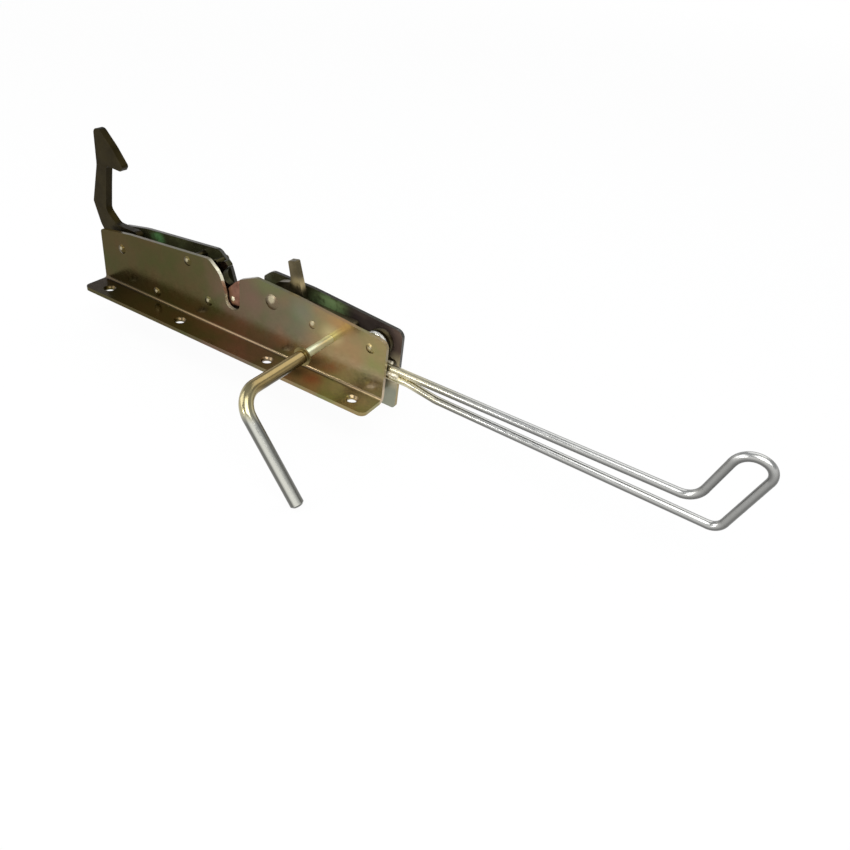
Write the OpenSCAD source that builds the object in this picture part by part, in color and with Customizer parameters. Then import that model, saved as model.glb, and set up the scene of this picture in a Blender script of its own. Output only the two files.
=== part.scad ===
// Cab door latch: two riveted plates that hold a fork catch, a pawl and a hook,
// worked by a bent rod handle and a long wire loop handle.
// Case frame: x runs from the left end of the plates, y from the front face of the
// front plate to the rear, z from the top of the mounting flange. The finished part
// is shifted so that its origin is the middle of the flange hole row, under the flange.

/* [Case plates] */
// Length of both plates
case_l = 275.4; // [262:0.1:300]
// Thickness of the sheet
sheet_t = 3; // [2:0.1:3.6]
// Clear gap between the plates
gap_w = 15; // [14.8:0.1:16]
// Height of the left end
left_h = 42.3; // [41:0.1:44]
// Place of the knee in the left top edge
knee_x = 32.4; // [28:0.1:38]
// Height of the knee
knee_h = 47.2; // [46:0.1:49]
// Height of the crest left of the throat
left_crest_h = 54.6; // [53.5:0.1:57]
// Height of the crest right of the throat
right_crest_h = 55; // [54.5:0.1:58]
// Distance of that crest from the middle of the throat
crest_off = 22.6; // [20:0.1:26]
// Height of the shoulder in the right top edge
shoulder_h = 53.2; // [52:0.1:54]
// Distance of the shoulder from the right end
shoulder_back = 76.4; // [60:0.1:90]
// Height of the right end
right_h = 46.2; // [45:0.1:49]
// Radius of the right plate corners
plate_corner_r = 6; // [2:0.5:7]
// Radius of the upper left plate corners
left_corner_r = 3; // [1:0.5:4]
// How far the back plate reaches below the flange
rear_drop = 16.2; // [13.5:0.1:20]
// How far the left end of the back plate is set in
rear_inset = 7; // [0:0.5:9]
// How far its right end reaches past the front plate
rear_reach = 1.3; // [0:0.1:3]
// How much higher its right end is
rear_rise = 1.4; // [0:0.1:2]
// Radius of its lower corners
rear_corner_r = 3; // [1:0.5:7]

/* [Throat] */
// Distance of the middle of the throat from the right end
throat_back = 137.5; // [136:0.1:139]
// Width of the throat between its straight sides
throat_w = 14.4; // [13.6:0.1:16]
// Height of the throat floor
throat_floor_h = 20.8; // [20.4:0.1:22]
// Height where the left side of the throat starts to lean
lead_foot_h = 31; // [30.5:0.1:33]
// Sideways reach of the steep part of the left lead-in
lead_bend_l = 5; // [4.6:0.1:7]
// Height of the bend in the left lead-in
lead_bend_h = 46; // [44:0.1:47]
// Sideways reach of the whole left lead-in
lead_l = 15.5; // [14:0.5:18]
// Height of the right lead-in corner
lead_h = 48.2; // [46:0.1:49]
// How much wider the throat is in the back plate, to the left
rear_throat_left = 6; // [0:0.1:8]
// How much wider the throat is in the back plate, to the right
rear_throat_right = 8.3; // [0:0.1:9]
// How much lower the right crest is in the back plate
rear_crest_drop = 0.8; // [0:0.1:2]

/* [Flange] */
// Width of the flange from the front face of the plate
flange_w = 22.8; // [21:0.1:30]
// Inner radius of the bend between the plate and the flange
bend_r = 2; // [0.5:0.1:3]
// Radius of the outer flange corners
flange_corner_r = 5; // [2:0.5:9]
// Diameter of the flange holes
hole_d = 6.6; // [5:0.1:8]
// Diameter of their countersinks
sink_d = 9.6; // [8.4:0.1:10]
// Spacing of the inner pair of holes
hole_inner = 87; // [60:1:100]
// Distance of the outer holes from the left end
hole_margin = 17.4; // [12:0.1:30]
// Distance of the hole row from the front face
hole_row = 12; // [10:0.5:14]

/* [Rivets and pivots] */
// Radius of the pivot pins
pivot_r = 4; // [3:0.1:4.4]
// Radius of the turned-down ends that pass through the plates
tenon_r = 3; // [2:0.1:3.2]
// Radius of the closed rivet heads
head_r = 3.8; // [3.4:0.1:5]
// Height of the closed rivet heads
head_h = 1.2; // [0.8:0.1:2]
// Radius of the wide head of the pawl pivot
wide_head_r = 6; // [4.5:0.1:7]
// Radius of the case spacers
spacer_r = 3.4; // [3.2:0.1:3.4]
// Radius of the spring post
post_r = 2.5; // [1.6:0.1:3]
// Radius of the stop studs
stud_r = 2.5; // [1.8:0.1:3]
// Wall of the spacer tubes on the pivots
tube_wall = 1.2; // [0.8:0.1:1.5]
// Radius of the drum under the lever spring
drum_r = 8.2; // [6:0.1:8.6]

/* [Hook] */
// Thickness of the hook
hook_t = 6; // [4:0.1:6.1]
// Height of the hook tip above the flange
hook_h = 120.2; // [116:0.1:130]
// Reach of the barb to the right of the left end
barb_x = 24; // [20:0.1:26]
// Height of the underside of the barb
barb_h = 92.4; // [90:0.1:96]
// Width of the hook arm
arm_w = 13.4; // [11:0.1:14.5]
// Leftmost reach of the elbow
elbow_x = -13.4; // [-18:0.1:-11]
// Height of the elbow
elbow_h = 60; // [57:0.5:62]

/* [Catch and pawl] */
// Thickness of the catch and the pawl
catch_t = 5.2; // [4:0.1:5.3]
// Width of the striker slot in the catch
slot_w = 13; // [11:0.1:13.4]
// Running radius of the catch
catch_r = 34.6; // [33.5:0.1:35.2]
// Depth of the step behind the catch tooth
tooth_step = 4.6; // [3:0.1:6]
// Turn of the catch from open to closed
catch_turn = 38; // [34:1:40]
// Height of the pawl tab above the flange
tab_h = 72.8; // [66:0.1:80]
// Width of the pawl tab at its top
tab_w = 6.9; // [5:0.1:8]
// Lean of the pawl tab to the left
tab_lean = 12.5; // [8:0.5:15]
// Length of the left side of the pawl tab
tab_side = 16.2; // [12:0.1:18]
// Height of the foot of its right side
tab_foot_h = 46; // [45:0.1:48]

/* [Rod handle] */
// Diameter of the bent rod
rod_d = 9.5; // [8.4:0.1:12]
// Diameter of the shaft in the plates
shaft_d = 6.4; // [5.6:0.1:7]
// Distance from the front face to the shoulder of the rod
shoulder_l = 32; // [20:1:50]
// Distance from the front face to the arm
stem_l = 95.4; // [75:0.1:120]
// Length of the arm from the shaft axis
rod_arm_l = 80; // [60:0.1:120]
// Slope of the arm below the horizontal
rod_arm_drop = 52.2; // [45:0.1:80]
// Bend radius of the rod
rod_bend_r = 15.5; // [12:0.5:24]
// Radius of the washer at the shoulder
washer_r = 6.8; // [5.5:0.1:8]
// Thickness of the washer
washer_t = 1.2; // [0.8:0.1:2]

/* [Wire handle] */
// Diameter of the wire
wire_d = 6; // [5:0.05:6.4]
// Gap between the strands at the weld
strand_gap = 0.1; // [0.05:0.05:0.5]
// Length of the straight upper strand, from the lever pivot
run_l = 232.5; // [150:0.5:300]
// Height of the upper strand
strand_h = 23.8; // [22.5:0.1:24.2]
// Spread of the strands where they leave the weld
pinch_gap = 9.7; // [8:0.1:11]
// Distance from the lever pivot to that place
pinch_l = 52; // [45:1:70]
// Spread of the strands at the grip
far_gap = 13.6; // [10:0.1:18]
// Upturn of the grip loop
grip_a = 71.8; // [60:0.1:85]
// Widening of the grip loop on each side
grip_flare = 0.6; // [0:0.1:3]
// Length of the upper side of the grip loop
grip_l = 48.8; // [40:0.1:70]
// Radius of the upper corner of the grip loop
grip_r = 13.2; // [9:0.1:14]
// Radius of the lower corner of the grip loop
grip_low_r = 8.8; // [7:0.1:12]
// Length of the flat at the end of the grip loop
grip_flat = 0.6; // [0.6:0.1:10]
// Bend radius of the upper strand
upper_bend_r = 14; // [9:0.5:18]
// Bend radius of the lower strand
lower_bend_r = 9; // [6:0.5:12]

/* [Lever and link] */
// Thickness of the lever
lever_t = 4; // [3:0.1:4.1]
// Length of the link arms of the lever and the hook
link_arm = 38; // [37.5:0.1:39]
// Diameter of the link rod
link_d = 3; // [2:0.1:3.2]
// Reach of the welded tang past the lever pivot
tang_l = 14; // [13:0.5:20]

/* [Fits] */
// Radial running clearance of the pivots
run_fit = 0.06; // [0.02:0.01:0.1]
// Radial clearance of the rivets in the plates
rivet_fit = 0.02; // [0.01:0.01:0.05]
// Side play of the moving plates
side_play = 0.15; // [0.1:0.05:0.3]
// Clearance where a moving piece meets its stop
stop_gap = 0.3; // [0.2:0.05:0.5]
// Clearance of the link in the hook
link_fit = 0.15; // [0.1:0.05:0.3]

/* [Hidden] */
$fn = 64;

// Colours
plate_colour = [0.50, 0.45, 0.28];
dark_colour = [0.27, 0.22, 0.13];
rod_colour = [0.72, 0.66, 0.45];
bright_colour = [0.74, 0.74, 0.70];

// Planes across the gap
gap_y0 = sheet_t;
gap_y1 = sheet_t + gap_w;
case_d = gap_w + 2 * sheet_t;
catch_space = 3.4;
catch_y1 = gap_y1 - catch_space;
catch_y0 = catch_y1 - catch_t;
lever_space = 3.7;
lever_y1 = gap_y1 - lever_space;
lever_y0 = lever_y1 - lever_t;
hook_space = 4.6;
hook_y1 = gap_y1 - hook_space;
hook_y0 = hook_y1 - hook_t;
wire_r = wire_d / 2;
wire_y = lever_y0 - wire_r;
link_r = link_d / 2;
link_play = 0.3;
link_over = 0.8;
link_y = gap_y0 + link_play + link_r;

// Pivots and rivets, as [x, z] on the plates
throat_x = case_l - throat_back;
hole_mid_x = throat_x;
hole_outer = 2 * (throat_x - hole_margin);
hook_at = [22.7, 32];
low_spacer_at = [58.6, 7];
catch_at = [throat_x - 24, 19.2];
high_spacer_at = catch_at + [-19.8, 26.6];
pawl_at = [throat_x + 37.9, 41.2];
shaft_at = [throat_x + 90.5, 31.3];
post_at = shaft_at + [-15.9, 5.3];
lever_at = [case_l - 13, 37.4];
hook_link_at = hook_at - [0, link_arm];
lever_link_at = lever_at - [0, link_arm];

tube_r = pivot_r + run_fit + tube_wall;
bush_wall = 1.5;
bush_flange = 2;
bush_flange_t = 1;
post_tenon_r = min(tenon_r, post_r) - 0.4;
post_head_r = post_r + 0.6;

// Geometry of the catch about its pivot, in the open position
pawl_gap = 0.35;
catch_run = catch_r + pawl_gap;
tooth_a = 18;
catch_tail_a = tooth_a - catch_turn - 8;
slot_a = 46;
seat = [throat_x, throat_floor_h + throat_w / 2] - catch_at;
seat_open = turned(seat, catch_turn);
jaw_t = 5.8;
jaw_tip = 5;
lip_r = 1.2;
jaw_root = 14;
jaw_root_r = 10;
hub_r = 12;
cheek_y0 = gap_y0 + 1;
cheek_in_r = 15;
cheek_low_a = 9;
slot_base = turned(seat_open, -slot_a) - [0, slot_w / 2];
catch_rivet_r = 2;
catch_rivet_h = 0.6;
catch_rivet_at = catch_at + [20.8, 8];

// Hook and lever
hook_foot_r = 5;
hook_peg_at = hook_at + [-12.3, 7];
lever_foot_r = 5;
lever_hub_r = 10;
lever_peg_at = lever_link_at + [0, 11];

// Geometry of the pawl, the cam and the shaft end
nose_a = 228.5;
nose_l = 44.5;
nose_w = 10;
nose_r = 1;
pawl_hub_r = 10;
tail_w = 4.2;
tab_off = 6.2;
tab_taper = 4;
tab_corner_r = 1.2;
cam_hub_r = 7.5;
cam_lobe_r = 3.2;
cam_reach = 11;
cam_drop = 1.6;
cam_mid_y = (catch_y0 + catch_y1) / 2;
cam_pin_r = 1.2;
shaft_end = case_d + 4;
clip_y = case_d + bush_flange_t + stop_gap;
clip_t = 1;
clip_groove = 0.8;
tail_under = shaft_at.y + cam_hub_r + 2;
dog_x = shaft_at.x + cam_hub_r + 0.5;
dog_w = 6.4;
dog_under = shaft_at.y + 1.9;

peg_r = 1.5;
peg_l = 3.4;
catch_peg_at = catch_at + polar(hub_r - peg_r, 210);
pawl_peg_at = pawl_at + polar(20, nose_a);

// Stops for the open catch, the lever and the cam
stud_tenon_r = stud_r - 0.6;
stud_cap_h = 1.2;
jaw_back = seat_open + polar(jaw_t + slot_w / 2 + stud_r + stop_gap, slot_a + 90) - polar(5, slot_a);
stud_spots = [
    catch_at + jaw_back,
    lever_link_at + [-lever_foot_r - stop_gap - stud_r, 5],
    shaft_at + [cam_reach, -cam_drop - cam_lobe_r - stop_gap - stud_r]
];

// Springs
thin_wire_r = 0.6;
mid_wire_r = 0.8;
lever_wire_r = 0.9;
coil_gap = 0.3;
coil_play = 0.1;
coil_y0 = gap_y0 + 0.2;

function unit(v) = v / norm(v);
function turned(v, a) = [v.x * cos(a) - v.y * sin(a), v.x * sin(a) + v.y * cos(a)];
function heading(v) = atan2(v.y, v.x);
function polar(r, a) = [r * cos(a), r * sin(a)];
// Crossing of the line through p along d with the line through q along e
function crossing(p, d, q, e) =
    p + d * ((q.x - p.x) * e.y - (q.y - p.y) * e.x) / (d.x * e.y - d.y * e.x);

// Points of one rounded corner p = [x, y, r] between its two neighbours
arc_step = 10;
function corner_points(a, p, b) =
    let (
        here = [p.x, p.y],
        u = unit(here - [a.x, a.y]),
        v = unit([b.x, b.y] - here),
        turn = atan2(u.x * v.y - u.y * v.x, u.x * v.x + u.y * v.y),
        side = turn > 0 ? 1 : -1,
        start = here - u * p.z * tan(abs(turn) / 2),
        centre = start + [-u.y, u.x] * p.z * side,
        steps = max(2, ceil(abs(turn) / arc_step))
    )
    p.z == 0 ? [here] : [for (i = [0:steps]) centre + turned(start - centre, turn * i / steps)];

// Closed outline with corners given as [x, y, radius]
module rounded(corners) {
    last = len(corners) - 1;
    polygon([
        for (i = [0:last])
            each corner_points(corners[i == 0 ? last : i - 1], corners[i], corners[i == last ? 0 : i + 1])
    ]);
}

// Moves the case frame to the mounting frame
module seated() {
    translate([-hole_mid_x, hole_row, sheet_t]) children();
}

// Stands a flat outline up between two depths
module slab(y0, y1) {
    translate([0, y1, 0]) rotate([90, 0, 0]) linear_extrude(y1 - y0) children();
}

// Revolves a profile of [radius, depth] points about a plate point
module turned_pin(at, profile) {
    translate([at.x, 0, at.y]) rotate([-90, 0, 0]) rotate_extrude() polygon(profile);
}

module tube(at, inner, outer, y0, y1) {
    slab(y0, y1) translate(at) difference() {
        circle(outer);
        circle(inner);
    }
}

// Rod along a flat path, with one bend radius for each inner corner. Each bend is a hair
// thicker than the straight pieces and laps over their ends.
bend_lap = 0.1;
bend_swell = 0.05;
module bent_rod(path, bends, r) {
    last = len(path) - 1;
    dirs = [for (i = [0:last - 1]) unit(path[i + 1] - path[i])];
    turns = [
        for (i = [1:last - 1])
            let (u = dirs[i - 1], v = dirs[i]) atan2(u.x * v.y - u.y * v.x, u * v)
    ];
    cuts = [0, each [for (i = [0:last - 2]) bends[i] * tan(abs(turns[i]) / 2)], 0];
    for (i = [0:last - 1]) {
        from = path[i] + dirs[i] * cuts[i];
        length = norm(path[i + 1] - path[i]) - cuts[i] - cuts[i + 1];
        if (length > 0.001)
            translate([from.x, from.y, 0]) rotate([0, 90, heading(dirs[i])]) cylinder(r = r, h = length);
    }
    for (i = [0:last - 2]) {
        side = turns[i] > 0 ? 1 : -1;
        start = path[i + 1] - dirs[i] * cuts[i + 1];
        centre = start + [-dirs[i].y, dirs[i].x] * bends[i] * side;
        lap = bend_lap / bends[i] * 180 / PI;
        first = heading(start - centre) + min(0, turns[i]) - lap;
        translate([centre.x, centre.y, 0]) rotate(first)
            rotate_extrude(angle = abs(turns[i]) + 2 * lap) translate([bends[i], 0]) circle(r + bend_swell);
    }
}

// Rivet with a body in the gap, turned-down ends in both plates and low domed heads outside
dome_steps = 5;
function dome(cap_r, cap_h) =
    let (ball_r = (cap_r * cap_r + cap_h * cap_h) / (2 * cap_h), half = asin(cap_r / ball_r))
    [for (i = [0:dome_steps]) let (p = polar(ball_r, 90 - half * i / dome_steps)) [p.x, p.y - ball_r + cap_h]];
module rivet(at, body_r, end_r, cap_r, cap_h) {
    cap = dome(cap_r, cap_h);
    turned_pin(at, [
        each [for (q = cap) [max(q.x, 0), -q.y]],
        [end_r, 0], [end_r, gap_y0], [body_r, gap_y0], [body_r, gap_y1], [end_r, gap_y1], [end_r, case_d],
        each [for (i = [dome_steps:-1:0]) [max(cap[i].x, 0), case_d + cap[i].y]]
    ]);
}

// Torsion spring about a plate point: one straight leg lies against the fixed pin, the
// other against the peg; pins are given as [[x, z], radius]
coil_steps = 20;
wire_sides = 8;
leg_over = 2;
module torsion_spring(at, coil_r, r, y0, turns, fixed, peg) {
    pitch = 2 * r + coil_play;
    fixed_d = fixed[0] - at;
    peg_d = peg[0] - at;
    fixed_off = acos((coil_r + fixed[1] + r) / norm(fixed_d));
    peg_off = acos((coil_r + peg[1] + r) / norm(peg_d));
    a0 = heading(fixed_d) + fixed_off;
    a1_raw = heading(peg_d) - peg_off;
    a1 = a1_raw + 360 * (turns + ceil((a0 - a1_raw) / 360));
    steps = ceil((a1 - a0) / 360 * coil_steps);
    leg0 = norm(fixed_d) * sin(fixed_off) + leg_over;
    leg1 = norm(peg_d) * sin(peg_off) + leg_over;
    rise = (a1 - a0) / 360 * pitch;
    spots = [
        [polar(coil_r, a0) - polar(leg0, a0 + 90), y0, a0],
        each [
            for (i = [0:steps])
                let (a = a0 + (a1 - a0) * i / steps) [polar(coil_r, a), y0 + rise * i / steps, a]
        ],
        [polar(coil_r, a1) + polar(leg1, a1 + 90), y0 + rise, a1]
    ];
    points = [
        for (s = spots, k = [0:wire_sides - 1])
            let (
                w = polar(r, 360 * k / wire_sides),
                c = at + s[0] + polar(w.x, s[2])
            )
            [c.x, s[1] + w.y, c.y]
    ];
    rings = len(spots);
    faces = [
        [for (k = [0:wire_sides - 1]) k],
        for (i = [0:rings - 2], k = [0:wire_sides - 1])
            let (n = (k + 1) % wire_sides, b = i * wire_sides, c = b + wire_sides) [b + k, c + k, c + n, b + n],
        [for (k = [0:wire_sides - 1]) rings * wire_sides - 1 - k]
    ];
    polyhedron(points, faces, convexity = 8);
}

// Outline shared by both plates: floor is the lower edge, ends moves the left and the right
// end to the right, wider opens the throat to both sides, crest_drop lowers the right crest
// and rise lifts the right end
throat_corner_r = throat_w / 2 - 0.2;
lead_foot_r = 14;
lead_bend_r = 18;
left_crest_r = 7;
right_crest_r = 8;
lead_corner_r = 2;
shoulder_r = 60;
knee_r = 80;
module plate_outline(floor, floor_r, ends, wider, crest_drop, rise) {
    left = throat_x - throat_w / 2 - wider[0];
    right = throat_x + throat_w / 2 + wider[1];
    rounded([
        [ends[0], floor, floor_r],
        [case_l + ends[1], floor, floor_r],
        [case_l + ends[1], right_h + rise, plate_corner_r],
        [case_l - shoulder_back, shoulder_h + rise / 2, shoulder_r],
        [throat_x + crest_off, right_crest_h - crest_drop, right_crest_r],
        [right, lead_h, lead_corner_r],
        [right, throat_floor_h, throat_corner_r],
        [left, throat_floor_h, throat_corner_r],
        [left, lead_foot_h, lead_foot_r],
        [left - lead_bend_l, lead_bend_h, lead_bend_r],
        [left - lead_l, left_crest_h, left_crest_r],
        [knee_x, knee_h, knee_r],
        [ends[0], left_h, left_corner_r]
    ]);
}

module plate_holes(shaft_hole_r) {
    for (at = [hook_at, low_spacer_at, high_spacer_at, catch_at, pawl_at, lever_at])
        translate(at) circle(tenon_r + rivet_fit);
    translate(post_at) circle(post_tenon_r + rivet_fit);
    translate(shaft_at) circle(shaft_hole_r);
}

module front_plate() {
    sink_h = (sink_d - hole_d) / 2;
    over = 0.1;
    color(plate_colour) seated() {
        slab(0, sheet_t) difference() {
            plate_outline(bend_r, 0, [0, 0], [0, 0], 0, 0);
            plate_holes(shaft_d / 2 + run_fit);
        }
        // The bend, as a quarter ring in the plane of depth and height
        rotate([90, 0, 90]) linear_extrude(case_l) translate([-bend_r, bend_r]) intersection() {
            difference() {
                circle(bend_r + sheet_t);
                circle(bend_r);
            }
            translate([0, -bend_r - sheet_t]) square(bend_r + sheet_t);
        }
        // The flange, drilled and countersunk for the four mounting screws
        difference() {
            translate([0, 0, -sheet_t]) linear_extrude(sheet_t) rounded([
                [0, -bend_r, 0],
                [0, -flange_w, flange_corner_r],
                [case_l, -flange_w, flange_corner_r],
                [case_l, -bend_r, 0]
            ]);
            for (span = [hole_inner, hole_outer], side = [-1, 1])
                translate([hole_mid_x + side * span / 2, -hole_row, 0]) {
                    translate([0, 0, -sheet_t - over]) cylinder(d = hole_d, h = sheet_t + 2 * over);
                    translate([0, 0, -sink_h])
                        cylinder(d1 = hole_d, d2 = sink_d + 2 * over, h = sink_h + over);
                }
        }
    }
}

module back_plate() {
    color(plate_colour) seated() slab(gap_y1, case_d) difference() {
        plate_outline(-rear_drop, rear_corner_r, [rear_inset, rear_reach],
            [rear_throat_left, rear_throat_right], rear_crest_drop, rear_rise);
        plate_holes(shaft_d / 2 + run_fit + bush_wall + rivet_fit);
        for (s = stud_spots) translate(s) circle(stud_tenon_r + rivet_fit);
    }
}

module case_spacers() {
    color(bright_colour) seated() {
        rivet(low_spacer_at, spacer_r, tenon_r, head_r, head_h);
        rivet(high_spacer_at, spacer_r, tenon_r, head_r, head_h);
    }
}

module hook_pivot() {
    color(bright_colour) seated() rivet(hook_at, pivot_r, tenon_r, head_r, head_h);
}

module catch_pivot() {
    color(bright_colour) seated() rivet(catch_at, pivot_r, tenon_r, head_r, head_h);
}

module pawl_pivot() {
    color(bright_colour) seated() rivet(pawl_at, pivot_r, tenon_r, wide_head_r, head_h);
}

module lever_pivot() {
    color(bright_colour) seated() rivet(lever_at, pivot_r, tenon_r, head_r, head_h);
}

module spring_post() {
    color(bright_colour) seated() rivet(post_at, post_r, post_tenon_r, post_head_r, head_h / 2);
}

// Stops of the catch, the lever and the cam, riveted into the back plate
module stop_studs() {
    color(bright_colour) seated() for (s = stud_spots)
        turned_pin(s, [
            [0, lever_y0 - 1], [stud_r - 0.4, lever_y0 - 1], [stud_r, lever_y0 - 0.6], [stud_r, gap_y1],
            [stud_tenon_r, gap_y1], [stud_tenon_r, case_d], [stud_r + 0.6, case_d],
            [stud_r, case_d + stud_cap_h], [0, case_d + stud_cap_h]
        ]);
}

// Spacer tubes on a pivot, in front of and behind a moving plate
module spacers(at, y0, y1, front_r) {
    color(bright_colour) seated() {
        tube(at, pivot_r + run_fit, front_r, gap_y0, y0 - side_play);
        tube(at, pivot_r + run_fit, tube_r, y1 + side_play, gap_y1);
    }
}

module hook_spacers() {
    spacers(hook_at, hook_y0, hook_y1, tube_r);
}

module catch_spacers() {
    spacers(catch_at, catch_y0, catch_y1, tube_r);
}

module pawl_spacers() {
    spacers(pawl_at, catch_y0, catch_y1, tube_r);
}

module lever_spacers() {
    spacers(lever_at, lever_y0, lever_y1, drum_r);
}

// Flanged bush of the shaft in the back plate
module shaft_bush() {
    bore = shaft_d / 2 + run_fit;
    outer = bore + bush_wall;
    color(bright_colour) seated() {
        tube(shaft_at, bore, outer, gap_y1, case_d);
        tube(shaft_at, bore, outer + bush_flange, case_d, case_d + bush_flange_t);
    }
}

// Peg that takes the leg of a spring, in front of the face at depth y
module spring_peg(at, y) {
    turned_pin(at, [[0, y - peg_l], [peg_r, y - peg_l], [peg_r, y], [0, y]]);
}

// Hook: an arm that rises past the left end to a barb, with a link arm below the pivot
module hook() {
    right = elbow_x + arm_w;
    color(dark_colour) seated() {
        slab(hook_y0, hook_y1) difference() {
            rounded([
                [hook_link_at.x - hook_foot_r, hook_link_at.y - hook_foot_r, hook_foot_r - 0.1],
                [hook_link_at.x + hook_foot_r, hook_link_at.y - hook_foot_r, hook_foot_r - 0.1],
                [hook_at.x + 7, hook_at.y - 11, 12],
                [hook_at.x + 13.5, hook_at.y + 4, 7],
                [hook_at.x + 10.5, hook_at.y + 14.6, 5],
                [right + 9.8, elbow_h - 13, 6],
                [right + 0.2, elbow_h - 3.8, 6],
                [right + 3.4, elbow_h + 17, 40],
                [right + 6.2, barb_h + 0.6, 2.6],
                [barb_x - 2.6, barb_h, 2.2],
                [barb_x, barb_h + 4, 2.4],
                [barb_x - 10, barb_h + 16.4, 30],
                [elbow_x + 16.2, hook_h - 0.6, 4],
                [elbow_x + 9.4, hook_h, 4.4],
                [elbow_x + 8.6, barb_h - 1, 16],
                [elbow_x, elbow_h, 4],
                [hook_at.x - 29.5, hook_at.y + 8.5, 14],
                [hook_at.x - 10, hook_at.y - 9, 12]
            ]);
            translate(hook_at) circle(pivot_r + run_fit);
            translate(hook_link_at) circle(link_r + link_fit);
        }
        spring_peg(hook_peg_at, hook_y0);
    }
}

module hook_spring() {
    color(bright_colour) seated()
        torsion_spring(hook_at, tube_r + coil_gap + thin_wire_r, thin_wire_r, coil_y0 + thin_wire_r, 1,
            [low_spacer_at, spacer_r], [hook_peg_at, peg_r]);
}

// Catch: a fork with a slot for the striker and a tooth on its running radius. The outline
// runs along both radii, round the slot, over the upper jaw and back round the hub.
function slot_point(u, v) = seat_open + turned([u, v], slot_a);
function sharp(points) = [for (p = points) concat(p, 0)];
module catch_outline() {
    step_r = catch_r - tooth_step;
    slot_r = slot_w / 2;
    lip_a = slot_a + asin((turned(seat_open, -slot_a).y - slot_r) / step_r);
    jaw_top = slot_r + jaw_t;
    rounded([
        each sharp([for (i = [0:9]) polar(catch_r, catch_tail_a + (tooth_a - catch_tail_a) * i / 9)]),
        each sharp([for (i = [0:5]) polar(step_r, tooth_a + (lip_a - 5 - tooth_a) * i / 5)]),
        concat(polar(step_r, lip_a), lip_r),
        each sharp([for (i = [0:18]) slot_point(slot_r * cos(-90 - i * 10), slot_r * sin(-90 - i * 10))]),
        concat(slot_point(jaw_tip, slot_r), lip_r),
        concat(slot_point(jaw_tip, jaw_top), jaw_t * 0.5),
        concat(slot_point(-slot_r - jaw_root, jaw_top), jaw_root_r),
        each sharp([for (i = [0:14]) polar(hub_r, 175 + (360 + catch_tail_a - 8 - 175) * i / 14)])
    ]);
}

// Cheek that thickens the lower jaw towards the front plate
module cheek_outline() {
    tip_a = slot_a + asin(slot_base.y / catch_r);
    inner = turned([cheek_in_r, slot_base.y], slot_a);
    rounded([
        each sharp([for (i = [0:8]) polar(catch_r, cheek_low_a + (tip_a - 4 - cheek_low_a) * i / 8)]),
        concat(polar(catch_r, tip_a), lip_r),
        concat(inner, lip_r),
        concat(polar(cheek_in_r, cheek_low_a), lip_r)
    ]);
}

module catch() {
    color(dark_colour) seated() {
        difference() {
            union() {
                slab(catch_y0, catch_y1) translate(catch_at) catch_outline();
                slab(cheek_y0, catch_y0) translate(catch_at) cheek_outline();
            }
            slab(cheek_y0 - 1, catch_y1 + 1) {
                translate(catch_at) circle(pivot_r + run_fit);
                translate(catch_rivet_at) circle(catch_rivet_r + rivet_fit);
            }
        }
        spring_peg(catch_peg_at, catch_y0);
    }
}

// Rivet through the cheek and the fork, with a domed front end
module catch_rivet() {
    cap = dome(catch_rivet_r, catch_rivet_h);
    color(bright_colour) seated() turned_pin(catch_rivet_at, [
        each [for (q = cap) [max(q.x, 0), cheek_y0 - q.y]],
        [catch_rivet_r, catch_y1], [0, catch_y1]
    ]);
}

module catch_spring() {
    color(bright_colour) seated()
        torsion_spring(catch_at, tube_r + coil_gap + mid_wire_r, mid_wire_r, coil_y0 + mid_wire_r, 1,
            [high_spacer_at, spacer_r], [catch_peg_at, peg_r]);
}

// Pawl: a strut to the catch, a tail over the shaft and a tab above the plates
module pawl() {
    nose = polar(nose_l, nose_a);
    across = polar(nose_w / 2, nose_a + 90);
    tab_top = [pawl_at.x + tab_off, tab_h];
    tab_end = tab_top + polar(tab_w, tab_lean);
    color(dark_colour) seated() {
        slab(catch_y0, catch_y1) difference() {
            rounded([
                concat(pawl_at + nose + across, nose_r),
                concat(pawl_at + across + polar(pawl_hub_r - 2, nose_a), 4),
                [pawl_at.x + pawl_hub_r + 4, tail_under, 6],
                [dog_x, tail_under, 1.5],
                [dog_x, dog_under, nose_r],
                [dog_x + dog_w, dog_under, 2],
                [dog_x + dog_w, tail_under + tail_w, 3],
                [tab_end.x + (tab_end.y - tab_foot_h) * tan(tab_lean + tab_taper), tab_foot_h, 2],
                concat(tab_end, tab_corner_r),
                concat(tab_top, tab_corner_r),
                concat(tab_top + polar(tab_side, tab_lean - 90), 3),
                [pawl_at.x - 2, pawl_at.y + pawl_hub_r + 2.3, 6],
                [pawl_at.x - pawl_hub_r + 0.4, pawl_at.y + 4, 6],
                concat(pawl_at + nose - across, nose_r)
            ]);
            translate(catch_at) circle(catch_run, $fn = 128);
            translate(pawl_at) circle(pivot_r + run_fit);
        }
        spring_peg(pawl_peg_at, catch_y0);
    }
}

module pawl_spring() {
    color(bright_colour) seated()
        torsion_spring(pawl_at, tube_r + coil_gap + mid_wire_r, mid_wire_r, coil_y0 + mid_wire_r, 1,
            [post_at, post_r], [pawl_peg_at, peg_r]);
}

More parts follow.
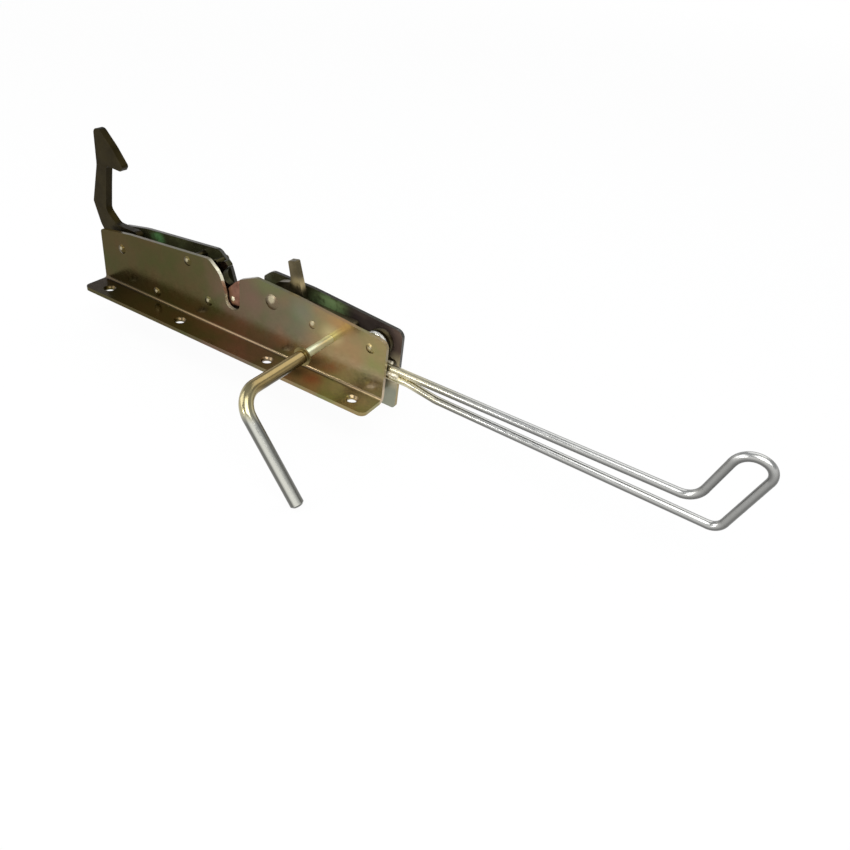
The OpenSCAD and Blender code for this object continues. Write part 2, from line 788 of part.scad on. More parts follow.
// Rod handle: a shaft through both plates, a shoulder, a stem and an arm bent down
module handle_rod() {
    tip = 1.4;
    color(rod_colour) seated() translate([shaft_at.x, 0, shaft_at.y]) {
        difference() {
            union() {
                rotate([-90, 0, 0]) rotate_extrude() polygon([
                    [0, -shoulder_l], [shaft_d / 2, -shoulder_l], [shaft_d / 2, clip_y],
                    [shaft_d / 2 - clip_groove, clip_y], [shaft_d / 2 - clip_groove, clip_y + clip_t],
                    [shaft_d / 2, clip_y + clip_t], [shaft_d / 2, shaft_end - 0.6],
                    [shaft_d / 2 - 0.6, shaft_end], [0, shaft_end]
                ]);
                rotate([0, rod_arm_drop, 0]) rotate([0, 0, -90]) {
                    bent_rod([[shoulder_l, 0], [stem_l, 0], [stem_l, rod_arm_l - tip]], [rod_bend_r], rod_d / 2);
                    translate([stem_l, rod_arm_l - tip, 0]) rotate([-90, 0, 0])
                        cylinder(r1 = rod_d / 2, r2 = rod_d / 2 - tip, h = tip);
                }
            }
            translate([0, cam_mid_y, 0]) cylinder(r = cam_pin_r, h = shaft_d, center = true);
        }
    }
}

// Washer on the shaft, against the shoulder of the rod
module shoulder_washer() {
    color(dark_colour) seated()
        tube(shaft_at, shaft_d / 2 + rivet_fit, washer_r, -shoulder_l, washer_t - shoulder_l);
}

// Cam on the shaft: its lobe lifts the dog of the pawl tail
module shaft_cam() {
    color(dark_colour) seated() difference() {
        slab(catch_y0, catch_y1) translate(shaft_at) difference() {
            union() {
                circle(cam_hub_r);
                translate([cam_reach, -cam_drop]) circle(cam_lobe_r);
                polygon([[0, -cam_hub_r], [cam_reach, -cam_drop - cam_lobe_r], [cam_reach, cam_lobe_r - cam_drop],
                    [0, cam_lobe_r - cam_drop]]);
            }
            circle(shaft_d / 2 + rivet_fit);
        }
        translate([shaft_at.x, cam_mid_y, shaft_at.y])
            cylinder(r = cam_pin_r, h = 3 * cam_hub_r, center = true);
    }
}

module cam_pin() {
    color(bright_colour) seated() translate([shaft_at.x, cam_mid_y, shaft_at.y])
        cylinder(r = cam_pin_r - rivet_fit, h = 2 * cam_hub_r - 1, center = true);
}

// Open ring that keeps the shaft in its bushes
module shaft_clip() {
    groove_r = shaft_d / 2 - clip_groove + rivet_fit;
    color(bright_colour) seated() slab(clip_y + rivet_fit, clip_y + clip_t - rivet_fit) translate(shaft_at)
        difference() {
            circle(shaft_d / 2 + 2.6);
            circle(groove_r);
            translate([0, -groove_r * 0.8]) square([shaft_d * 2, groove_r * 1.6]);
        }
}

// Lever of the wire handle: a link arm below the pivot and a tang for the wires
module handle_lever() {
    low = strand_h - wire_d - wire_r;
    high = strand_h + wire_r;
    color(plate_colour) seated() {
        slab(lever_y0, lever_y1) difference() {
            union() {
                translate(lever_at) circle(lever_hub_r);
                rounded([
                    [lever_link_at.x - lever_foot_r, lever_link_at.y - lever_foot_r, lever_foot_r - 0.1],
                    [lever_link_at.x + lever_foot_r, lever_link_at.y - lever_foot_r, lever_foot_r - 0.1],
                    [lever_link_at.x + lever_foot_r + 1.5, low, 4],
                    [lever_at.x + tang_l, low, 2.5],
                    [lever_at.x + tang_l, high, 2.5],
                    [lever_at.x + tang_l / 2, high, 2.5],
                    [lever_at.x + lever_hub_r - 0.4, lever_at.y - 1, 0],
                    [lever_at.x - lever_hub_r + 0.4, lever_at.y - 1, 0],
                    [lever_link_at.x - lever_foot_r, lever_link_at.y + 2 * lever_foot_r, 8]
                ]);
            }
            translate(lever_at) circle(pivot_r + run_fit);
            translate(lever_link_at) circle(link_r + run_fit);
        }
        spring_peg(lever_peg_at, lever_y0);
    }
}

// Wire handle: one wire from the weld out along the upper strand, round the grip and back
wire_start = 8;
merge_l = 29;
merge_bend_r = 30;
far_l = run_l + 14;
low_strand_h = strand_h - wire_d - strand_gap;
wire_path = let (
    start = [lever_at.x + wire_start, strand_h],
    knee = [lever_at.x + run_l, strand_h],
    up = polar(1, grip_a + grip_flare),
    down = polar(1, grip_a - grip_flare),
    end_w = (grip_r + grip_low_r) * tan((90 + grip_flare) / 2) + grip_flat,
    top = knee + up * grip_l,
    side = top + polar(end_w, grip_a - 90),
    pinch = [lever_at.x + pinch_l, strand_h - pinch_gap],
    far = [lever_at.x + far_l, strand_h - far_gap],
    low = crossing(side, down, pinch, far - pinch),
    merge = [lever_at.x + merge_l, low_strand_h]
) [start, knee, top, side, low, pinch, merge, [lever_at.x + wire_start, low_strand_h]];

module wire_handle() {
    color(bright_colour) seated() translate([0, wire_y, 0]) rotate([90, 0, 0])
        bent_rod(wire_path,
            [upper_bend_r, grip_r, grip_low_r, lower_bend_r, merge_bend_r, merge_bend_r], wire_r);
}

// Weld beads: one in front between the strands, two short ones along the tang
weld_l = 13;
weld_r = 2.4;
weld_proud = 1.4;
tang_weld_r = 2;
module bead(y, z, r, length) {
    tip = r / 3;
    translate([lever_at.x + wire_start + 1, y, z]) rotate([0, 90, 0]) rotate_extrude() polygon([
        [0, 0], [r - tip, 0], [r, tip], [r, length - tip], [r - tip, length], [0, length]
    ]);
}
module handle_welds() {
    tang_weld_l = tang_l - wire_start - 1.5;
    mid_h = (strand_h + low_strand_h) / 2;
    groove = wire_r * 0.75;
    color(bright_colour) seated() difference() {
        union() {
            bead(wire_y - weld_proud, mid_h, weld_r, weld_l);
            bead(lever_y0 - 0.8, strand_h + groove, tang_weld_r, tang_weld_l);
            bead(lever_y0 - 0.8, low_strand_h - groove, tang_weld_r, tang_weld_l);
        }
        for (h = [strand_h, low_strand_h])
            translate([lever_at.x, wire_y, h]) rotate([0, 90, 0]) cylinder(r = wire_r, h = merge_l);
        translate([lever_at.x, lever_y0, 0]) cube([merge_l, lever_t, 2 * strand_h]);
    }
}

module lever_spring() {
    color(bright_colour) seated()
        torsion_spring(lever_at, drum_r + coil_gap + lever_wire_r, lever_wire_r, coil_y0 + lever_wire_r, 1,
            [post_at, post_r], [lever_peg_at, peg_r]);
}

// Link rod: runs from the hook to the lever, with both ends turned into their holes
module link_rod() {
    span = lever_link_at - hook_link_at;
    leg = lever_y1 + link_over - link_y;
    link_bend_r = link_r + 0.8;
    color(rod_colour) seated() translate([hook_link_at.x, link_y, hook_link_at.y])
        rotate([0, -heading(span), 0])
            bent_rod([[0, leg], [0, 0], [norm(span), 0], [norm(span), leg]], [link_bend_r, link_bend_r], link_r);
}

front_plate();
back_plate();
case_spacers();
hook_pivot();
catch_pivot();
pawl_pivot();
lever_pivot();
spring_post();
stop_studs();
hook_spacers();
catch_spacers();
pawl_spacers();
lever_spacers();
shaft_bush();
hook();
hook_spring();
catch();
catch_rivet();
catch_spring();
pawl();
pawl_spring();
handle_rod();
shoulder_washer();
shaft_cam();
cam_pin();
shaft_clip();
handle_lever();
wire_handle();
handle_welds();
lever_spring();
link_rod();
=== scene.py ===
import math

import bmesh
import bpy
from mathutils import Matrix, Vector


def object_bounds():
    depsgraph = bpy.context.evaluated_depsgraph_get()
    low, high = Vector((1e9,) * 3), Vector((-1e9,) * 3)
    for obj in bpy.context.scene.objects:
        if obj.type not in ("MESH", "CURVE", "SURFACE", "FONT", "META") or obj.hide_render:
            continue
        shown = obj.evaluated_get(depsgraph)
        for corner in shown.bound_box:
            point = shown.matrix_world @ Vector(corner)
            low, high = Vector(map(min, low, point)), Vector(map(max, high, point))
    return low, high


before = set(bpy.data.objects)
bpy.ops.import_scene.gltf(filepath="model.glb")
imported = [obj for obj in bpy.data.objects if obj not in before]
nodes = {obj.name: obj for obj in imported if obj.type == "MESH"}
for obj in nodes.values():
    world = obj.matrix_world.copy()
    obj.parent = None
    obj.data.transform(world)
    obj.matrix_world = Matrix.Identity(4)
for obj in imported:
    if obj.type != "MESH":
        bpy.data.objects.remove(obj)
cad_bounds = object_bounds()
scene = bpy.context.scene
scene.view_settings.view_transform = "Standard"

# Ends of the plates along x, and along y the outer faces of the front and the back plate, in metres
LEFT_END, RIGHT_END = -0.1379, 0.1375
FRONT_FACE, BACK_FACE = 0.012, 0.033
# Heights between which the wear of cut edges fades in, above the flange and its bend
WALL_START = (0.010, 0.014)
# Depth of the finest marks in a surface, in metres
GRAIN_DEPTH = 0.0002
# Metallic value of a thick stain, and what satin adds to the roughness
STAIN_METALLIC = 0.2
SATIN_ROUGHNESS = 0.14
WHITE = (1.0, 1.0, 1.0)


def tone(red, green, blue):
    """Linear colour of a screen colour given in 0 to 255."""
    parts = (value / 255 for value in (red, green, blue))
    return tuple(p / 12.92 if p <= 0.04045 else ((p + 0.055) / 1.055) ** 2.4 for p in parts)


class Graph:
    """Small helper for building a node material around one shader."""

    def __init__(self, name):
        self.material = bpy.data.materials.new(name)
        self.material.use_nodes = True
        self.tree = self.material.node_tree
        self.shader = self.tree.nodes["Principled BSDF"]
        source = self.add("ShaderNodeTexCoord")
        self.coords = source.outputs["Object"]
        self.place = self.split(self.coords)
        self.facing = self.split(source.outputs["Normal"])

    def add(self, kind, **settings):
        node = self.tree.nodes.new(kind)
        for key, value in settings.items():
            setattr(node, key, value)
        return node

    def link(self, source, target):
        self.tree.links.new(source, target)

    def split(self, vector):
        node = self.add("ShaderNodeSeparateXYZ")
        self.link(vector, node.inputs["Vector"])
        return node.outputs

    def noise(self, scale, detail=3.0, stretch=(1, 1, 1)):
        mapping = self.add("ShaderNodeMapping")
        mapping.inputs["Scale"].default_value = stretch
        self.link(self.coords, mapping.inputs["Vector"])
        node = self.add("ShaderNodeTexNoise")
        node.inputs["Scale"].default_value = scale
        node.inputs["Detail"].default_value = detail
        node.inputs["Roughness"].default_value = 0.55
        self.link(mapping.outputs["Vector"], node.inputs["Vector"])
        return node.outputs["Fac"]

    def ramp(self, factor, stops):
        node = self.add("ShaderNodeValToRGB")
        elements = node.color_ramp.elements
        while len(elements) < len(stops):
            elements.new(0.5)
        for element, (position, colour) in zip(elements, stops):
            element.position = position
            element.color = (*colour, 1)
        self.link(factor, node.inputs["Fac"])
        return node.outputs["Color"]

    def span(self, value, low, high, to_low=0.0, to_high=1.0):
        """A smooth step from to_low to to_high as the value goes from low to high."""
        node = self.add("ShaderNodeMapRange", interpolation_type="SMOOTHSTEP")
        node.inputs["From Min"].default_value = low
        node.inputs["From Max"].default_value = high
        node.inputs["To Min"].default_value = to_low
        node.inputs["To Max"].default_value = to_high
        self.link(value, node.inputs["Value"])
        return node.outputs["Result"]

    def math(self, operation, a, b=0.0):
        node = self.add("ShaderNodeMath", operation=operation)
        for socket, value in zip(node.inputs, (a, b)):
            if isinstance(value, (int, float)):
                socket.default_value = value
            else:
                self.link(value, socket)
        return node.outputs["Value"]

    def times(self, *factors):
        product = factors[0]
        for factor in factors[1:]:
            product = self.math("MULTIPLY", product, factor)
        return product

    def mix(self, factor, a, b, blend="MIX"):
        node = self.add("ShaderNodeMix", data_type="RGBA", blend_type=blend)
        for index, value in ((0, factor), (6, a), (7, b)):
            if isinstance(value, (int, float)):
                node.inputs[index].default_value = value
            elif isinstance(value, tuple):
                node.inputs[index].default_value = (*value, 1)
            else:
                self.link(value, node.inputs[index])
        return node.outputs[2]

    def tinted(self, colour, tint, where):
        """The colour multiplied by a tint where the mask is 1."""
        return self.mix(where, colour, self.mix(1.0, colour, tint, "MULTIPLY"))

    def near(self, centre, radii):
        """1 at the centre, falling softly to 0 at the ellipsoid of these radii."""
        squares = []
        for value, middle, radius in zip(self.place, centre, radii):
            offset = self.times(self.math("SUBTRACT", value, middle), 1.0 / radius)
            squares.append(self.times(offset, offset))
        total = self.math("ADD", self.math("ADD", squares[0], squares[1]), squares[2])
        return self.span(self.math("SQRT", total), 1.0, 0.0)

    def along(self):
        """0 at the plates' left end, 1 at their right end."""
        return self.span(self.place[0], LEFT_END, RIGHT_END)

    def wandering(self, value, scale, amount, detail=3.0):
        """The value with noise about zero added, so that a change of colour wanders."""
        drift = self.math("SUBTRACT", self.noise(scale, detail), 0.5)
        return self.math("ADD", value, self.times(drift, amount))

    def cut_edge(self):
        """1 on faces that run through a sheet, 0 on its two flat sides."""
        return self.span(self.math("ABSOLUTE", self.facing[1]), 0.75, 0.30)

    def towards(self, direction):
        """How far the surface faces a direction, from -1 to 1."""
        parts = [self.times(value, weight) for value, weight in zip(self.facing, direction)]
        return self.math("ADD", self.math("ADD", parts[0], parts[1]), parts[2])

    def flecked(self, colour, scale, low, high, stretch=(1, 1, 1)):
        """Fine grain: the colour times a noise between two greys."""
        grain = self.ramp(self.noise(scale, 2.0, stretch), [(0.3, (low,) * 3), (0.7, (high,) * 3)])
        return self.mix(1.0, colour, grain, "MULTIPLY")

    def painted_shading(self, colour, painted_lit, least):
        """Painted shade: the colour darkened away from the lit side, which the second argument gives from 0
        to 1, down to least.
        """
        shade = self.ramp(painted_lit, [(0.0, (least,) * 3), (1.0, WHITE)])
        return self.mix(1.0, colour, shade, "MULTIPLY")

    def metal(self, colour, rough, rough_scale=260.0, stained=None, satin=None):
        """Metal with drifting gloss; stained dulls it to a thick film, satin roughens it."""
        self.shader.inputs["Metallic"].default_value = 1.0
        if stained is not None:
            self.link(self.span(stained, 0.0, 1.0, 1.0, STAIN_METALLIC), self.shader.inputs["Metallic"])
        gloss = self.span(self.noise(rough_scale), 0.3, 0.7, *rough)
        if satin is not None:
            gloss = self.math("ADD", gloss, self.times(satin, SATIN_ROUGHNESS))
        self.link(colour, self.shader.inputs["Base Color"])
        self.link(gloss, self.shader.inputs["Roughness"])

    def bump(self, height, strength):
        node = self.add("ShaderNodeBump")
        node.inputs["Strength"].default_value = strength
        node.inputs["Distance"].default_value = GRAIN_DEPTH
        self.link(height, node.inputs["Height"])
        self.link(node.outputs["Normal"], self.shader.inputs["Normal"])


def passivated(g):
    """Yellow zinc sheet: olive at the left, pink in the middle, straw at the right, with drifting tints."""
    base = g.ramp(g.wandering(g.along(), 24.0, 0.36, 4.0), [
        (0.0, tone(72, 63, 30)),
        (0.30, tone(84, 75, 46)),
        (0.52, tone(106, 88, 70)),
        (0.70, tone(110, 99, 78)),
        (1.0, tone(148, 132, 91)),
    ])
    tint = g.ramp(g.noise(46.0, 2.0), [
        (0.30, (0.80, 1.06, 0.84)),
        (0.50, WHITE),
        (0.70, (1.14, 0.92, 1.00)),
    ])
    colour = g.mix(0.8, base, tint, "MULTIPLY")
    return g.flecked(colour, 900.0, 0.96, 1.03, (0.25, 1, 1))


def sheet_finish(g, colour, stained):
    g.metal(colour, (0.17, 0.27), stained=stained)
    g.bump(g.noise(1400.0, 2.0, (0.2, 1, 1)), 0.10)
    return g.material


def front_sheet_material():
    g = Graph("front_sheet")
    colour = passivated(g)
    forward = g.math("MULTIPLY", g.facing[1], -1.0)
    upward = g.facing[2]
    # Stains: a green veil on the crest right of the throat, pink left of the pawl rivet, two grey ones left
    # of the spring post; the orange and straw patches by the shaft are a painted reflection of the shaft and
    # painted glare
    stains_and_glare = [
        ((0.036, FRONT_FACE, 0.057), (0.030, 0.02, 0.014), 0.70, tone(104, 112, 72)),
        ((0.018, FRONT_FACE, 0.038), (0.022, 0.02, 0.022), 0.45, tone(116, 88, 76)),
        ((0.066, FRONT_FACE, 0.046), (0.018, 0.02, 0.018), 0.60, tone(108, 117, 100)),
        ((0.064, FRONT_FACE, 0.028), (0.020, 0.02, 0.016), 0.50, tone(98, 98, 86)),
        # Painted reflection of the shaft and painted glare beside it, orange and straw
        ((0.1000, FRONT_FACE, 0.0500), (0.018, 0.02, 0.011), 0.55, tone(182, 138, 84)),
        ((0.0915, FRONT_FACE, 0.0380), (0.0140, 0.02, 0.0110), 0.35, tone(236, 216, 158)),
    ]
    for centre, radii, strength, stain_and_painted_light in stains_and_glare:
        colour = g.mix(g.times(g.near(centre, radii), strength), colour, stain_and_painted_light)
    # The flange is browner than the plate, most at its left end
    flange = g.times(g.span(upward, 0.6, 0.95), g.span(g.place[2], 0.008, 0.005))
    brown = g.ramp(g.along(), [
        (0.0, (0.50, 0.34, 0.18)),
        (0.07, (1.22, 1.14, 1.08)),
        (0.15, (1.52, 1.50, 1.52)),
        (0.45, (1.60, 1.50, 1.38)),
        (0.75, (1.05, 0.95, 0.92)),
        (1.0, (0.92, 1.08, 1.25)),
    ])
    colour = g.tinted(colour, brown, flange)
    shaded = g.times(flange, g.near((0.069, 0.003, 0.003), (0.020, 0.016, 0.010)))
    colour = g.mix(g.times(shaded, 0.9), colour, tone(62, 46, 25))
    rust = g.times(flange, g.near((0.0847, 0.002, 0.003), (0.012, 0.014, 0.010)))
    colour = g.mix(g.times(rust, 0.7), colour, tone(132, 72, 50))
    # The foot of the wall is paler towards the right
    low_right = g.times(g.span(g.place[2], 0.030, 0.008), g.span(g.place[0], 0.070, 0.125))
    foot = g.times(low_right, g.span(upward, 0.5, 0.2), g.span(g.place[1], 0.0095, 0.0110))
    colour = g.mix(g.times(foot, 0.7), colour, tone(198, 178, 154))
    # A painted highlight makes the bend a paler band
    bend = g.times(g.span(g.times(forward, upward), 0.05, 0.40), g.span(g.place[2], 0.0085, 0.0065))
    painted_bend_highlight = g.mix(g.along(), tone(92, 76, 56), tone(162, 138, 110))
    colour = g.mix(g.times(bend, 0.55), colour, painted_bend_highlight)
    # Cut edges are dull, apart from the throat's left edge, which gets a painted highlight
    edge = g.times(g.cut_edge(), g.span(g.place[2], *WALL_START))
    colour = g.tinted(colour, (0.72, 0.68, 0.62), edge)
    # Painted highlight along the throat's left edge
    painted_lit = g.times(edge, g.near((-0.0120, 0.0135, 0.038), (0.020, 0.02, 0.038)))
    colour = g.mix(painted_lit, colour, tone(244, 240, 214))
    return sheet_finish(g, colour, g.math("SUBTRACT", edge, painted_lit))


def back_sheet_material():
    g = Graph("back_sheet")
    colour = passivated(g)
    # The inner face gets painted shade, near black, with two blotches of green and plum towards the right
    stain_and_painted_light = g.ramp(g.noise(34.0, 3.0), [
        (0.36, tone(44, 42, 26)),
        (0.56, tone(60, 60, 38)),
        (0.72, tone(84, 90, 58)),
    ])
    blotches = g.span(g.noise(130.0, 3.0), 0.36, 0.56, 0.25, 1.0)
    for centre, radii, green in [
        ((-0.0933, BACK_FACE, 0.0462), (0.011, 0.02, 0.008), tone(92, 142, 86)),
        ((0.0770, BACK_FACE, 0.0490), (0.024, 0.02, 0.014), tone(128, 154, 102)),
    ]:
        stain_and_painted_light = g.mix(g.times(g.near(centre, radii), blotches), stain_and_painted_light, green)
    plum = g.ramp(g.noise(40.0, 3.0), [(0.40, tone(60, 50, 48)), (0.66, tone(78, 68, 62))])
    stain_and_painted_light = g.mix(g.times(g.span(g.place[0], 0.084, 0.100), 0.95), stain_and_painted_light, plum)
    # Its right end, seen past the front plate, gets painted light, paler lower down
    painted_light_strip = g.mix(g.span(g.place[2], 0.024, 0.036), tone(228, 212, 172), tone(108, 90, 80))
    stain_and_painted_light = g.mix(g.times(g.span(g.place[0], 0.122, 0.137), 0.85), stain_and_painted_light, painted_light_strip)
    low_end = g.times(g.span(g.place[2], 0.012, 0.000), g.span(g.place[0], 0.110, 0.125))
    stain_and_painted_light = g.mix(low_end, stain_and_painted_light, tone(142, 144, 124))
    inner = g.span(g.facing[1], -0.5, -0.9)
    colour = g.mix(inner, colour, stain_and_painted_light)
    edge = g.times(g.cut_edge(), g.span(g.place[2], *WALL_START))
    colour = g.mix(edge, colour, g.mix(g.noise(300.0, 2.0), tone(22, 21, 12), tone(42, 38, 24)))
    return sheet_finish(g, colour, g.math("MAXIMUM", inner, edge))


def rivet_material():
    """Rivets of the plates' colour, with a painted highlight on the crown of the head and painted shade
    where they pass between the plates.
    """
    g = Graph("rivet_steel")
    colour = passivated(g)
    # Painted highlight on the crown of each head
    painted_crown_highlight = g.times(g.span(g.towards((0.0, -0.985, 0.17)), 0.970, 0.994), g.span(g.place[1], 0.0140, 0.0115))
    colour = g.mix(g.times(painted_crown_highlight, 0.65), colour, tone(206, 196, 164))
    # Painted shade on the parts between the plates
    painted_gap_shade = g.times(g.span(g.place[1], 0.0140, 0.0155), g.span(g.place[1], 0.0310, 0.0295))
    colour = g.mix(g.times(painted_gap_shade, 0.75), colour, tone(40, 36, 22))
    g.metal(colour, (0.20, 0.34))
    g.bump(g.noise(1500.0, 2.0), 0.12)
    return g.material


def plated_steel(name, low, high, rough=(0.30, 0.45), scale=70.0, bump=0.12, side=1.0, spot=None):
    """Plated steel drifting between two tones; side darkens the cut edges, spot is a painted highlight."""
    g = Graph(name)
    colour = g.ramp(g.noise(scale, 4.0), [(0.32, low), (0.68, high)])
    colour = g.flecked(colour, 1100.0, 0.86, 1.08)
    if side < 1.0:
        colour = g.tinted(colour, (side,) * 3, g.cut_edge())
    if spot is not None:
        centre, radii, bright = spot
        colour = g.mix(g.times(g.near(centre, radii), 0.9), colour, bright)
    g.metal(colour, rough)
    g.bump(g.noise(1500.0, 2.0), bump)
    return g.material


def catch_material():
    """Fork catch: dark olive, with painted light making its front cheek in the throat a paler reddish-brown.
    """
    g = Graph("catch_steel")
    dark = g.ramp(g.noise(60.0, 4.0), [(0.32, tone(34, 36, 22)), (0.68, tone(66, 62, 44))])
    red = g.ramp(g.noise(90.0, 3.0), [(0.34, tone(104, 72, 58)), (0.66, tone(142, 104, 86))])
    # Painted light on the front cheek, paler than the dark olive behind
    colour = g.mix(g.span(g.place[1], 0.0216, 0.0212), dark, red)
    colour = g.flecked(colour, 1100.0, 0.88, 1.08)
    g.metal(colour, (0.28, 0.42))
    g.bump(g.noise(1500.0, 2.0), 0.12)
    return g.material


def rod_material():
    """Glossy plated bar: straw at the stem, silver down the arm, and a painted highlight that makes the
    shaft pale.
    """
    g = Graph("rod_steel")
    fall = g.span(g.place[2], 0.033, 0.014)
    arm = g.span(g.place[1], -0.066, -0.082)
    colour = g.ramp(g.math("ADD", g.wandering(fall, 60.0, 0.4), g.times(arm, 0.35)), [
        (0.0, tone(154, 134, 90)),
        (0.45, tone(194, 185, 144)),
        (1.0, tone(216, 216, 206)),
    ])
    # Painted highlight: the shaft is pale all along
    shaft = g.span(g.place[1], -0.021, -0.0195)
    colour = g.mix(shaft, colour, tone(226, 229, 196))
    # Painted highlight on top of the stem and along the front of the arm, with painted shade on their other
    # sides; the bend and the shaft are painted light too
    top = g.span(g.facing[2], -0.15, 0.75)
    front = g.span(g.towards((0.60, -0.64, 0.48)), 0.78, 0.985)
    painted_lit = g.math("ADD", g.times(top, g.math("SUBTRACT", 1.0, arm)), g.times(front, arm))
    # Painted highlight along the bend
    bend = g.times(g.span(g.place[1], -0.060, -0.072, 0.0, 0.7), g.span(g.place[2], 0.020, 0.028))
    painted_lit = g.math("MAXIMUM", g.math("MAXIMUM", painted_lit, shaft), bend)
    colour = g.flecked(g.painted_shading(colour, painted_lit, 0.22), 700.0, 0.97, 1.02, (1, 0.15, 0.3))
    g.metal(colour, (0.16, 0.25), 180.0, stained=g.times(shaft, 0.3), satin=shaft)
    g.bump(g.noise(900.0, 2.0, (1, 0.2, 0.4)), 0.02)
    return g.material


def wire_material():
    """Bright drawn wire, straw near the weld and silver further out."""
    g = Graph("wire_steel")
    out = g.span(g.place[0], 0.140, 0.230)
    colour = g.ramp(g.wandering(out, 60.0, 0.4), [
        (0.0, tone(208, 200, 170)),
        (0.5, tone(184, 182, 169)),
        (1.0, tone(196, 196, 193)),
    ])
    # Painted highlight on the upper front of the wire and painted shade elsewhere, left off near the weld so
    # that its near end stays bright
    painted_lit = g.span(g.towards((0.0, -0.62, 0.78)), 0.42, 0.97)
    painted_lit = g.math("MAXIMUM", painted_lit, g.span(g.place[0], 0.172, 0.154, 0.0, 0.95))
    colour = g.flecked(g.painted_shading(colour, painted_lit, 0.30), 800.0, 0.97, 1.02, (0.12, 1, 0.6))
    g.metal(colour, (0.20, 0.29), 160.0)
    g.bump(g.noise(1000.0, 2.0, (0.15, 1, 0.7)), 0.012)
    return g.material


rivet_steel = rivet_material()
rod_steel = rod_material()
spring_steel = plated_steel("spring_steel", tone(206, 204, 196), tone(240, 239, 233), (0.18, 0.30), 240.0)
dark_steel = plated_steel("dark_steel", tone(38, 31, 12), tone(53, 45, 21), (0.36, 0.52), side=0.7)
# Painted highlight on the pawl's shoulder beside its tab
pawl_painted_highlight = ((0.0530, 0.019, 0.0595), (0.009, 0.02, 0.008), tone(206, 186, 138))
pawl_steel = plated_steel("pawl_steel", tone(84, 76, 54), tone(108, 98, 76), side=0.9, spot=pawl_painted_highlight)
shade_steel = plated_steel("shade_steel", tone(34, 30, 18), tone(50, 44, 28))
lever_steel = plated_steel("lever_steel", tone(104, 94, 66), tone(140, 126, 88), side=0.3)
washer_steel = plated_steel("washer_steel", tone(112, 99, 64), tone(146, 130, 86))
pale_steel = plated_steel("pale_steel", tone(206, 196, 168), tone(232, 222, 196), (0.20, 0.32), 300.0)
weld_steel = plated_steel("weld_steel", tone(206, 198, 174), tone(246, 238, 214), (0.30, 0.48), 420.0, 0.5)

# Nodes that aren't named here are rivets, studs, tubes and bushes
finishes = {
    "front_plate": front_sheet_material(),
    "back_plate": back_sheet_material(),
    "hook": dark_steel,
    "shaft_cam": dark_steel,
    "catch": catch_material(),
    "catch_rivet": pale_steel,
    "pawl": pawl_steel,
    "handle_lever": lever_steel,
    "lever_spacers": shade_steel,
    "shoulder_washer": washer_steel,
    "handle_rod": rod_steel,
    "link_rod": rod_steel,
    "wire_handle": wire_material(),
    "handle_welds": weld_steel,
    "hook_spring": spring_steel,
    "catch_spring": spring_steel,
    "pawl_spring": spring_steel,
    "lever_spring": spring_steel,
}
# Stamped pieces get softened edges, whose radius is in metres
stamped = {"front_plate", "back_plate", "hook", "catch", "pawl", "handle_lever", "shaft_cam"}
edge_radius = 0.0003
sharp_angle = math.radians(40)
for name, piece in nodes.items():
    piece.data.materials.clear()
    piece.data.materials.append(finishes.get(name, rivet_steel))
    if name in stamped:
        weld = piece.modifiers.new("weld", "WELD")
        weld.merge_threshold = 1e-6
        bevel = piece.modifiers.new("bevel", "BEVEL")
        bevel.width = edge_radius
        bevel.segments = 2
        bevel.limit_method = "ANGLE"
        bevel.angle_limit = sharp_angle
        bevel.harden_normals = True


def paper_material():
    """Plain white for the camera and for reflections, with a share of real light that keeps the shadow."""
    paper = bpy.data.materials.new("paper")
    paper.use_nodes = True
    tree = paper.node_tree
    tree.nodes.clear()
    link = tree.links.new
    output = tree.nodes.new("ShaderNodeOutputMaterial")
    blend = tree.nodes.new("ShaderNodeMixShader")
    plain = tree.nodes.new("ShaderNodeBsdfDiffuse")
    plain.inputs["Color"].default_value = (0.95, 0.95, 0.95, 1)
    glow = tree.nodes.new("ShaderNodeEmission")
    glow.inputs["Strength"].default_value = 1.0
    path = tree.nodes.new("ShaderNodeLightPath")
    seen = path.outputs["Is Camera Ray"]
    for ray in ("Is Glossy Ray", "Is Transmission Ray"):
        either = tree.nodes.new("ShaderNodeMath")
        either.operation = "MAXIMUM"
        link(seen, either.inputs[0])
        link(path.outputs[ray], either.inputs[1])
        seen = either.outputs["Value"]
    # The white share grows with the distance from the object
    coords = tree.nodes.new("ShaderNodeTexCoord")
    distance = tree.nodes.new("ShaderNodeVectorMath")
    distance.operation = "LENGTH"
    link(coords.outputs["Object"], distance.inputs[0])
    white = tree.nodes.new("ShaderNodeMapRange")
    white.inputs["From Min"].default_value = 0.5
    white.inputs["From Max"].default_value = 3.0
    white.inputs["To Min"].default_value = 0.95
    white.inputs["To Max"].default_value = 1.0
    link(distance.outputs["Value"], white.inputs["Value"])
    share = tree.nodes.new("ShaderNodeMath")
    share.operation = "MULTIPLY"
    link(seen, share.inputs[0])
    link(white.outputs["Result"], share.inputs[1])
    link(share.outputs["Value"], blend.inputs["Fac"])
    link(plain.outputs["BSDF"], blend.inputs[1])
    link(glow.outputs["Emission"], blend.inputs[2])
    link(blend.outputs["Shader"], output.inputs["Surface"])
    return paper


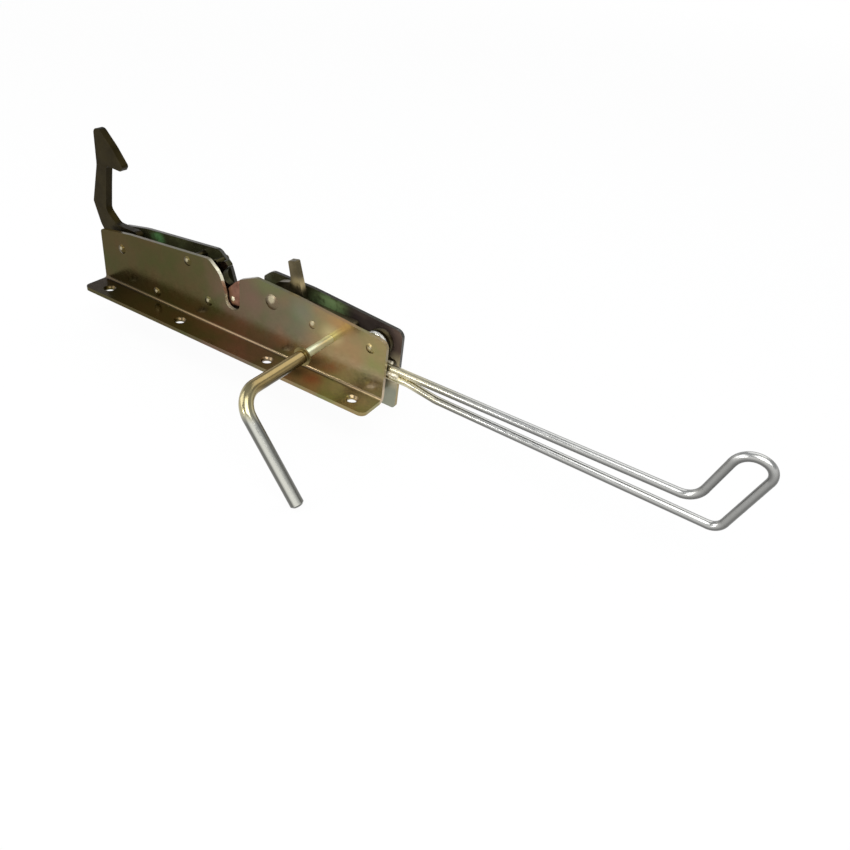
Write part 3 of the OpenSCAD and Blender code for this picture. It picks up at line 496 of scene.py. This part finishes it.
# Floor with a low rim all round, so that no view shows the world behind it: radius and height of each ring
rim_profile = [(6.0, 0.0), (8.0, 0.25), (9.2, 1.0), (9.8, 2.2), (10.0, 4.0)]
rim_steps = 64
rim_angles = [2 * math.pi * i / rim_steps for i in range(rim_steps)]
floor_gap = 0.0005
sheet = bmesh.new()
rings = []
for radius, height in rim_profile:
    rings.append([sheet.verts.new((radius * math.cos(a), radius * math.sin(a), height)) for a in rim_angles])
sheet.faces.new(rings[0])
for inner, outer in zip(rings, rings[1:]):
    for i in range(rim_steps):
        j = (i + 1) % rim_steps
        sheet.faces.new((inner[i], outer[i], outer[j], inner[j]))
floor_mesh = bpy.data.meshes.new("floor")
sheet.to_mesh(floor_mesh)
sheet.free()
floor_mesh.materials.append(paper_material())
floor = bpy.data.objects.new("floor", floor_mesh)
floor.location = (0.1, 0.0, cad_bounds[0][2] - floor_gap)
scene.collection.objects.link(floor)

# World: soft and even
world = bpy.data.worlds.new("studio")
scene.world = world
world.use_nodes = True
background = world.node_tree.nodes["Background"]
background.inputs["Strength"].default_value = 0.5
background.inputs["Color"].default_value = (0.95, 0.97, 1.0, 1)


def softbox(name, place, target, size, power):
    lamp = bpy.data.lights.new(name, "AREA")
    lamp.shape = "RECTANGLE"
    lamp.size, lamp.size_y = size
    lamp.energy = power
    box = bpy.data.objects.new(name, lamp)
    scene.collection.objects.link(box)
    box.location = place
    box.rotation_euler = (Vector(target) - Vector(place)).to_track_quat("-Z", "Y").to_euler()


case_middle = (0.0, 0, 0.03)
whole_middle = (0.1, 0, 0.03)
softbox("key", (0.55, -0.55, 0.95), whole_middle, (0.9, 0.9), 8.0)
softbox("fill", (-0.7, -0.6, 0.6), case_middle, (0.8, 0.8), 4.0)
softbox("front", (-0.25, -1.1, 0.30), case_middle, (0.2, 0.2), 1.6)
softbox("rim", (0.2, 0.75, 0.85), whole_middle, (1.0, 0.8), 3.0)

# Camera at the photograph's place: azimuth, elevation and roll in degrees, focal length in photo pixels
azimuth, elevation, roll = (math.radians(a) for a in (26.11, 35.60, 8.43))
focal_px, photo_px = 800.0, 850.0
place = (0.3738, -0.3946, 0.3231)
level_reach, rise = math.cos(elevation), math.sin(elevation)
back = Vector((math.sin(azimuth) * level_reach, -math.cos(azimuth) * level_reach, rise))
level = Vector((math.cos(azimuth), math.sin(azimuth), 0.0))
upright = back.cross(level)
right = level * math.cos(roll) + upright * math.sin(roll)
up = upright * math.cos(roll) - level * math.sin(roll)
lens = bpy.data.cameras.new("camera")
lens.sensor_width = 36.0
lens.lens = focal_px / photo_px * lens.sensor_width
lens.clip_start = 0.01
camera = bpy.data.objects.new("camera", lens)
scene.collection.objects.link(camera)
camera.matrix_world = Matrix((
    (right.x, up.x, back.x, place[0]),
    (right.y, up.y, back.y, place[1]),
    (right.z, up.z, back.z, place[2]),
    (0, 0, 0, 1),
))
scene.camera = camera
